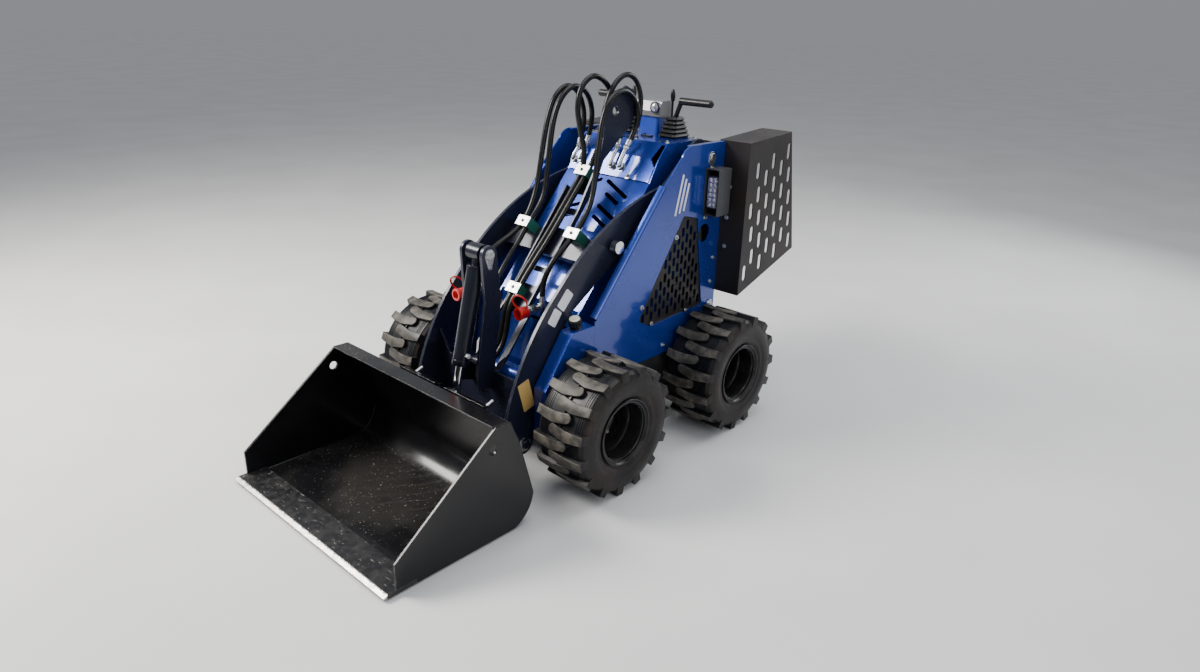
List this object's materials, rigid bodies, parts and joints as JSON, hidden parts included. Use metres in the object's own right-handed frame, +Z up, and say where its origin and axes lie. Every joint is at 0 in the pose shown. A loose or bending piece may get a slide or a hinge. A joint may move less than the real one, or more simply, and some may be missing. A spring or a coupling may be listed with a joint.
{
  "type": "mini wheel loader",
  "caption": "Compact wheeled skid-steer loader with curved lift arms, a front bucket and a stand-behind control deck",
  "frame": {"origin": "On the ground under the middle of the overall length and width, bucket flat on the ground", "axes": "+X points forward to the bucket, +Y to the machine's left, +Z up"},
  "size_m": [2.1, 1.092, 1.3103],
  "materials": {
    "blue_paint": "metallic bright blue paint, glossy",
    "boom_paint": "dark blue-grey gloss paint",
    "guard_paint": "dark blue-grey satin paint",
    "frame_paint": "black satin paint, dusty",
    "bucket_paint": "gloss black paint with dust inside",
    "bare_edge": "bare worn steel",
    "cylinder_paint": "black satin paint",
    "rod_chrome": "hard chrome, polished",
    "zinc": "zinc-plated steel",
    "rim_paint": "gloss black rim",
    "tyre_rubber": "black rubber, dusty",
    "hose_rubber": "black braided hose cover",
    "boot_rubber": "black bellows and grips",
    "pod_plastic": "grey moulded head on a blue column",
    "cap_plastic": "black cap with a worn top",
    "red_plastic": "red dust cap",
    "clamp_plastic": "green moulded clamp under a plated cover",
    "engine_iron": "dark cast engine block",
    "lamp": "black lamp guard with a clear lens"
  },
  "bodies": {
    "chassis": {"lower_frame": "frame_paint", "wheel_motors": "frame_paint", "platform": "frame_paint", "rear_wall": "frame_paint", "inner_plate_left": "blue_paint", "inner_plate_right": "blue_paint", "front_panel": "blue_paint", "hood": "blue_paint", "cowl": "blue_paint", "nose_cheek_left": "blue_paint", "nose_cheek_right": "blue_paint", "side_panel_left": "blue_paint", "side_panel_right": "blue_paint", "side_grille_left": "guard_paint", "side_grille_right": "guard_paint", "rear_guard_left": "guard_paint", "rear_guard_right": "guard_paint", "work_light_left": "lamp", "work_light_right": "lamp", "joystick_left": "boot_rubber", "joystick_right": "boot_rubber", "engine": "engine_iron", "filler_cap": "cap_plastic", "tower_pins": "zinc", "deck_fittings": "zinc", "control_pod": "pod_plastic"},
    "boom": {"arm_left": "boom_paint", "arm_right": "boom_paint", "knee_member": "boom_paint", "lower_member": "boom_paint", "tilt_bracket": "boom_paint", "centre_tray": "boom_paint", "hose_clamps": "clamp_plastic", "couplers": "zinc", "coupler_caps": "red_plastic", "boom_fittings": "zinc", "hose_right_outer": "hose_rubber", "hose_right_inner": "hose_rubber", "hose_centre_right": "hose_rubber", "hose_centre_left": "hose_rubber", "hose_left": "hose_rubber"},
    "tilt_barrel": {"tilt_barrel": "cylinder_paint"},
    "tilt_rod": {"tilt_rod": "rod_chrome"},
    "bucket": {"attach_plate": "boom_paint", "lock_pins": "zinc", "bucket_shell": "bucket_paint", "cutting_edge": "bare_edge"},
    "lift_barrel_left": {"lift_barrel_left": "cylinder_paint"},
    "lift_rod_left": {"lift_rod_left": "rod_chrome"},
    "lift_barrel_right": {"lift_barrel_right": "cylinder_paint"},
    "lift_rod_right": {"lift_rod_right": "rod_chrome"},
    "wheel_front_left": {"tyre_front_left": "tyre_rubber", "rim_front_left": "rim_paint"},
    "wheel_front_right": {"tyre_front_right": "tyre_rubber", "rim_front_right": "rim_paint"},
    "wheel_rear_left": {"tyre_rear_left": "tyre_rubber", "rim_rear_left": "rim_paint"},
    "wheel_rear_right": {"tyre_rear_right": "tyre_rubber", "rim_rear_right": "rim_paint"}
  },
  "joints": [
    {"name": "boom_lift", "type": "hinge", "parent": "chassis", "child": "boom", "pos_m": [-0.537, 0, 1.022], "axis": [0, -1, 0], "range_deg": [0, 75], "deforming": ["hose_right_outer", "hose_right_inner", "hose_centre_right", "hose_centre_left", "hose_left"]},
    {"name": "bucket_tilt", "type": "hinge", "parent": "boom", "child": "bucket", "pos_m": [0.354, 0, 0.145], "axis": [0, 1, 0], "range_deg": [-20, 100]},
    {"name": "tilt_barrel_swing", "type": "hinge", "parent": "boom", "child": "tilt_barrel", "pos_m": [0.329, 0, 0.76], "axis": [0, 1, 0], "range_deg": [-1.1, 3.5]},
    {"name": "tilt_rod_slide", "type": "slide", "parent": "tilt_barrel", "child": "tilt_rod", "axis": [0.2355, 0, -0.9719], "range_m": [-0.04144, 0.19922]},
    {"name": "lift_barrel_swing_left", "type": "hinge", "parent": "chassis", "child": "lift_barrel_left", "pos_m": [-0.585, 0.272, 0.44], "axis": [0, -1, 0], "range_deg": [0, 35.6]},
    {"name": "lift_rod_slide_left", "type": "slide", "parent": "lift_barrel_left", "child": "lift_rod_left", "axis": [0.8539, 0, 0.5205], "range_m": [0, 0.44968]},
    {"name": "lift_barrel_swing_right", "type": "hinge", "parent": "chassis", "child": "lift_barrel_right", "pos_m": [-0.585, -0.272, 0.44], "axis": [0, -1, 0], "range_deg": [0, 35.6]},
    {"name": "lift_rod_slide_right", "type": "slide", "parent": "lift_barrel_right", "child": "lift_rod_right", "axis": [0.8539, 0, 0.5205], "range_m": [0, 0.44968]},
    {"name": "wheel_front_left_spin", "type": "hinge", "parent": "chassis", "child": "wheel_front_left", "pos_m": [0.169, 0.438, 0.2286], "axis": [0, 1, 0], "continuous": true},
    {"name": "wheel_front_right_spin", "type": "hinge", "parent": "chassis", "child": "wheel_front_right", "pos_m": [0.169, -0.438, 0.2286], "axis": [0, 1, 0], "continuous": true},
    {"name": "wheel_rear_left_spin", "type": "hinge", "parent": "chassis", "child": "wheel_rear_left", "pos_m": [-0.503, 0.438, 0.2286], "axis": [0, 1, 0], "continuous": true},
    {"name": "wheel_rear_right_spin", "type": "hinge", "parent": "chassis", "child": "wheel_rear_right", "pos_m": [-0.503, -0.438, 0.2286], "axis": [0, 1, 0], "continuous": true}
  ],
  "couplings": [
    {"joint": "tilt_barrel_swing", "follows": "bucket_tilt", "ratio": 0.03},
    {"joint": "tilt_rod_slide", "follows": "bucket_tilt", "m_per_rad": 0.113},
    {"joint": "lift_barrel_swing_left", "follows": "boom_lift", "ratio": 0.468},
    {"joint": "lift_rod_slide_left", "follows": "boom_lift", "m_per_rad": 0.342},
    {"joint": "lift_barrel_swing_right", "follows": "boom_lift", "ratio": 0.468},
    {"joint": "lift_rod_slide_right", "follows": "boom_lift", "m_per_rad": 0.342}
  ]
}
